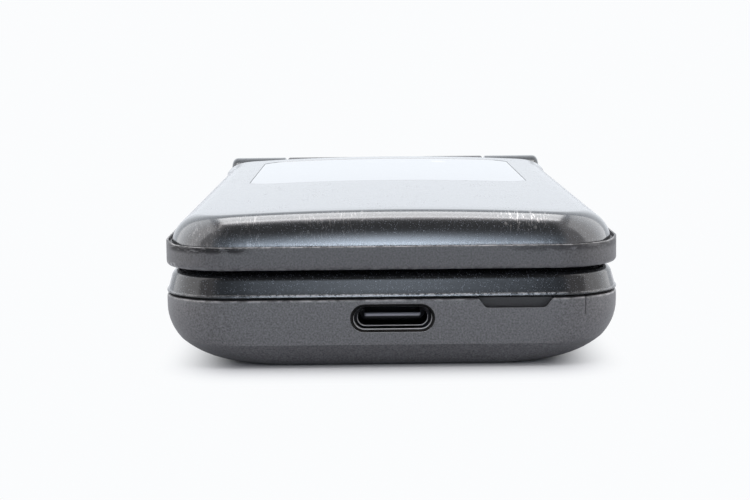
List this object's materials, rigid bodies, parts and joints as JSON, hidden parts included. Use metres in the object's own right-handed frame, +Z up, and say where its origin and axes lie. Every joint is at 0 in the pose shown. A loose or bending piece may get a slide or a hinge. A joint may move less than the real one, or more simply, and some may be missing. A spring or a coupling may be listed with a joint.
{
  "type": "flip phone",
  "caption": "Clamshell mobile phone that opens on a barrel hinge, with a keypad, side keys, a charging port and a snap-off rear cover.",
  "frame": {"origin": "the middle of the footprint, on the surface that the closed phone lies on, rear cover down", "axes": "+Z up from the rear cover to the lid, +Y from the charging port to the hinge, and +X to the right for someone who looks at the charging port"},
  "size_m": [0.056, 0.106, 0.0186],
  "materials": {
    "satin_shell": "satin with a fine grain",
    "gloss_shell": "glossy with a fine metallic flake",
    "inner_shell": "fine matte",
    "key_plastic": "smooth satin",
    "dark_window": "polished, dark tinted",
    "clear_window": "polished",
    "screen": "switched off, dark",
    "board": "solder resist",
    "steel": "plain stamped",
    "hinge_steel": "ground",
    "film": "thin film",
    "ribbon": "amber film",
    "battery_can": "wrapped in dark film",
    "black_plastic": "moulded",
    "rubber_pad": "soft matte",
    "lens_glass": "dark polished",
    "lamp": "yellow phosphor"
  },
  "bodies": {
    "cover": {"rear_cover": "satin_shell"},
    "base": {"base_housing": "gloss_shell", "chassis": "inner_shell", "main_board": "board", "dome_sheet": "film", "usb_shell": "steel", "usb_tongue": "black_plastic", "battery": "battery_can", "battery_contacts": "black_plastic", "sim_socket": "steel", "card_socket": "steel", "loudspeaker": "black_plastic", "vibration_motor": "steel", "audio_jack": "black_plastic", "microphone": "black_plastic", "case_screws": "steel", "shield_cans": "steel", "hinge_shaft": "hinge_steel", "pivot_bush": "hinge_steel", "hinge_flex": "ribbon"},
    "lid": {"lid_frame": "satin_shell", "lid_cover": "gloss_shell", "lid_face": "inner_shell", "display_window": "clear_window", "main_display": "screen", "earpiece": "black_plastic", "lid_board": "board", "outer_window": "dark_window", "outer_display": "screen", "camera_module": "lens_glass", "flash_led": "lamp", "lid_bumpers": "rubber_pad", "lid_screws": "steel", "hinge_cartridge": "hinge_steel"},
    "key_1": {"key_1": "key_plastic"},
    "key_2": {"key_2": "key_plastic"},
    "key_3": {"key_3": "key_plastic"},
    "key_4": {"key_4": "key_plastic"},
    "key_5": {"key_5": "key_plastic"},
    "key_6": {"key_6": "key_plastic"},
    "key_7": {"key_7": "key_plastic"},
    "key_8": {"key_8": "key_plastic"},
    "key_9": {"key_9": "key_plastic"},
    "key_star": {"key_star": "key_plastic"},
    "key_0": {"key_0": "key_plastic"},
    "key_hash": {"key_hash": "key_plastic"},
    "call_key": {"call_key": "key_plastic"},
    "clear_key": {"clear_key": "key_plastic"},
    "end_key": {"end_key": "key_plastic"},
    "soft_key_left": {"soft_key_left": "key_plastic"},
    "message_key": {"message_key": "key_plastic"},
    "soft_key_right": {"soft_key_right": "key_plastic"},
    "camera_key": {"camera_key": "key_plastic"},
    "ok_key": {"ok_key": "key_plastic"},
    "nav_ring": {"nav_ring": "key_plastic"},
    "volume_rocker": {"volume_rocker": "key_plastic"},
    "side_key": {"side_key": "key_plastic"}
  },
  "joints": [
    {"name": "cover_release", "type": "slide", "parent": "cover", "child": "base", "axis": [0, 0, 1], "range_m": [0, 0.025]},
    {"name": "lid_hinge", "type": "hinge", "parent": "base", "child": "lid", "pos_m": [0, 0.0482, 0.0133], "axis": [-1, 0, 0], "range_deg": [0, 160]},
    {"name": "key_1_press", "type": "slide", "parent": "base", "child": "key_1", "axis": [0, 0, -1], "range_m": [0, 0.0003], "stiffness_N_per_m": 150, "springref_m": -0.004},
    {"name": "key_2_press", "type": "slide", "parent": "base", "child": "key_2", "axis": [0, 0, -1], "range_m": [0, 0.0003], "stiffness_N_per_m": 150, "springref_m": -0.004},
    {"name": "key_3_press", "type": "slide", "parent": "base", "child": "key_3", "axis": [0, 0, -1], "range_m": [0, 0.0003], "stiffness_N_per_m": 150, "springref_m": -0.004},
    {"name": "key_4_press", "type": "slide", "parent": "base", "child": "key_4", "axis": [0, 0, -1], "range_m": [0, 0.0003], "stiffness_N_per_m": 150, "springref_m": -0.004},
    {"name": "key_5_press", "type": "slide", "parent": "base", "child": "key_5", "axis": [0, 0, -1], "range_m": [0, 0.0003], "stiffness_N_per_m": 150, "springref_m": -0.004},
    {"name": "key_6_press", "type": "slide", "parent": "base", "child": "key_6", "axis": [0, 0, -1], "range_m": [0, 0.0003], "stiffness_N_per_m": 150, "springref_m": -0.004},
    {"name": "key_7_press", "type": "slide", "parent": "base", "child": "key_7", "axis": [0, 0, -1], "range_m": [0, 0.0003], "stiffness_N_per_m": 150, "springref_m": -0.004},
    {"name": "key_8_press", "type": "slide", "parent": "base", "child": "key_8", "axis": [0, 0, -1], "range_m": [0, 0.0003], "stiffness_N_per_m": 150, "springref_m": -0.004},
    {"name": "key_9_press", "type": "slide", "parent": "base", "child": "key_9", "axis": [0, 0, -1], "range_m": [0, 0.0003], "stiffness_N_per_m": 150, "springref_m": -0.004},
    {"name": "key_star_press", "type": "slide", "parent": "base", "child": "key_star", "axis": [0, 0, -1], "range_m": [0, 0.0003], "stiffness_N_per_m": 150, "springref_m": -0.004},
    {"name": "key_0_press", "type": "slide", "parent": "base", "child": "key_0", "axis": [0, 0, -1], "range_m": [0, 0.0003], "stiffness_N_per_m": 150, "springref_m": -0.004},
    {"name": "key_hash_press", "type": "slide", "parent": "base", "child": "key_hash", "axis": [0, 0, -1], "range_m": [0, 0.0003], "stiffness_N_per_m": 150, "springref_m": -0.004},
    {"name": "call_key_press", "type": "slide", "parent": "base", "child": "call_key", "axis": [0, 0, -1], "range_m": [0, 0.0003], "stiffness_N_per_m": 150, "springref_m": -0.004},
    {"name": "clear_key_press", "type": "slide", "parent": "base", "child": "clear_key", "axis": [0, 0, -1], "range_m": [0, 0.0003], "stiffness_N_per_m": 150, "springref_m": -0.004},
    {"name": "end_key_press", "type": "slide", "parent": "base", "child": "end_key", "axis": [0, 0, -1], "range_m": [0, 0.0003], "stiffness_N_per_m": 150, "springref_m": -0.004},
    {"name": "soft_key_left_press", "type": "slide", "parent": "base", "child": "soft_key_left", "axis": [0, 0, -1], "range_m": [0, 0.0003], "stiffness_N_per_m": 150, "springref_m": -0.004},
    {"name": "message_key_press", "type": "slide", "parent": "base", "child": "message_key", "axis": [0, 0, -1], "range_m": [0, 0.0003], "stiffness_N_per_m": 150, "springref_m": -0.004},
    {"name": "soft_key_right_press", "type": "slide", "parent": "base", "child": "soft_key_right", "axis": [0, 0, -1], "range_m": [0, 0.0003], "stiffness_N_per_m": 150, "springref_m": -0.004},
    {"name": "camera_key_press", "type": "slide", "parent": "base", "child": "camera_key", "axis": [0, 0, -1], "range_m": [0, 0.0003], "stiffness_N_per_m": 150, "springref_m": -0.004},
    {"name": "ok_key_press", "type": "slide", "parent": "base", "child": "ok_key", "axis": [0, 0, -1], "range_m": [0, 0.0003], "stiffness_N_per_m": 150, "springref_m": -0.004},
    {"name": "nav_ring_tilt", "type": "hinge", "parent": "base", "child": "nav_ring", "pos_m": [0, 0.0216, 0.01005], "axis": [1, 0, 0], "range_deg": [-1.5, 1.5], "stiffness_Nm_per_rad": 0.2},
    {"name": "volume_rock", "type": "hinge", "parent": "base", "child": "volume_rocker", "pos_m": [-0.0256, 0.0194, 0.00735], "axis": [0, 0, 1], "range_deg": [-2.5, 2.5], "stiffness_Nm_per_rad": 0.05},
    {"name": "side_key_press", "type": "slide", "parent": "base", "child": "side_key", "axis": [-1, 0, 0], "range_m": [0, 0.0003], "stiffness_N_per_m": 150, "springref_m": -0.004}
  ]
}
